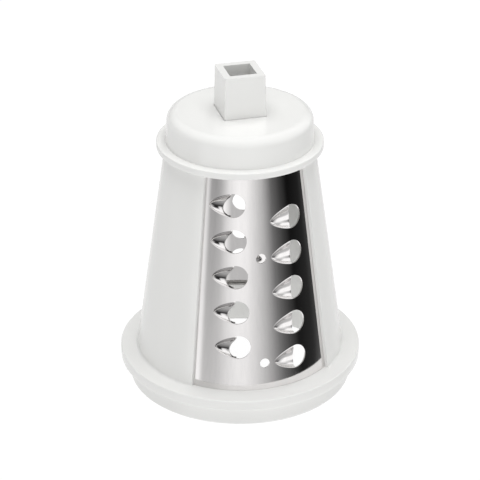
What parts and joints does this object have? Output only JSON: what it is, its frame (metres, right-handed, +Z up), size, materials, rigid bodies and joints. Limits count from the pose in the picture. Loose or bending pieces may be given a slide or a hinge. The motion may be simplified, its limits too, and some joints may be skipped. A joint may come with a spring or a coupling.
{
  "type": "grater drum",
  "caption": "Conical grating drum with raised half-cone teeth in two curved steel plates, a flanged cage, a running ring at its foot and a square drive socket on its cap.",
  "frame": {"origin": "middle of the base ring's bottom face, on the drum's turning axis", "axes": "+Z up along the turning axis towards the drive socket; the windows with the grater plates face -Y and +Y"},
  "size_m": [0.09, 0.09, 0.122],
  "materials": {
    "white_plastic": "glossy moulded white plastic",
    "white_plastic_cap": "glossy moulded white plastic",
    "polished_steel": "mirror-polished stainless sheet"
  },
  "bodies": {
    "drum": {"cage": "white_plastic", "base_ring": "white_plastic", "front_grater_plate": "polished_steel", "back_grater_plate": "polished_steel"},
    "drive_head": {"drive_cap": "white_plastic_cap", "drive_socket": "white_plastic_cap"}
  },
  "joints": [
    {"name": "cap_lift", "type": "slide", "parent": "drum", "child": "drive_head", "axis": [0, 0, 1], "range_m": [0, 0.02]}
  ]
}
